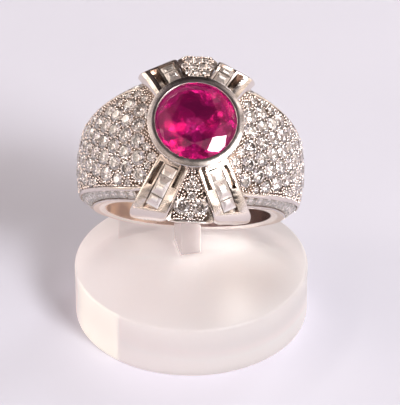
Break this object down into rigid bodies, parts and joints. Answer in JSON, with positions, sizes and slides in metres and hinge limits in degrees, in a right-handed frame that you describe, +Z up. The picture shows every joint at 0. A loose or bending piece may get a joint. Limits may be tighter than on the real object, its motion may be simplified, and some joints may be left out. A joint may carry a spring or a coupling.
{
  "type": "ruby and diamond ring on a display stand",
  "caption": "Domed cocktail ring with a round ruby in a bezel, baguette bars and brilliant-set shoulders, standing tipped on a plain acrylic display stand.",
  "frame": {"origin": "middle of the underside of the stand's disc", "axes": "+Z up, front is -Y, the side that the ring's tipped head faces; +X to the right seen from the front"},
  "size_m": [0.025, 0.025, 0.0303],
  "materials": {
    "white_gold": "polished, rhodium plated",
    "ruby": "faceted and polished",
    "diamond": "faceted and polished",
    "frosted_acrylic": "frosted, satin",
    "clear_acrylic": "clear, sawn and polished"
  },
  "bodies": {
    "root": {"stand_base": "frosted_acrylic", "stand_clip": "clear_acrylic", "ring_mount": "white_gold", "ruby": "ruby", "bar_baguette_front_right_1": "diamond", "bar_baguette_front_right_2": "diamond", "bar_baguette_front_right_3": "diamond", "bar_baguette_front_right_4": "diamond", "bar_baguette_front_left_1": "diamond", "bar_baguette_front_left_2": "diamond", "bar_baguette_front_left_3": "diamond", "bar_baguette_front_left_4": "diamond", "bar_baguette_back_right_1": "diamond", "bar_baguette_back_right_2": "diamond", "bar_baguette_back_right_3": "diamond", "bar_baguette_back_right_4": "diamond", "bar_baguette_back_left_1": "diamond", "bar_baguette_back_left_2": "diamond", "bar_baguette_back_left_3": "diamond", "bar_baguette_back_left_4": "diamond", "side_baguettes_front_right": "diamond", "side_baguettes_front_left": "diamond", "side_baguettes_back_right": "diamond", "side_baguettes_back_left": "diamond", "shoulder_stones_left": "diamond", "shoulder_stones_right": "diamond", "front_stones": "diamond", "back_stones": "diamond"}
  },
  "joints": []
}
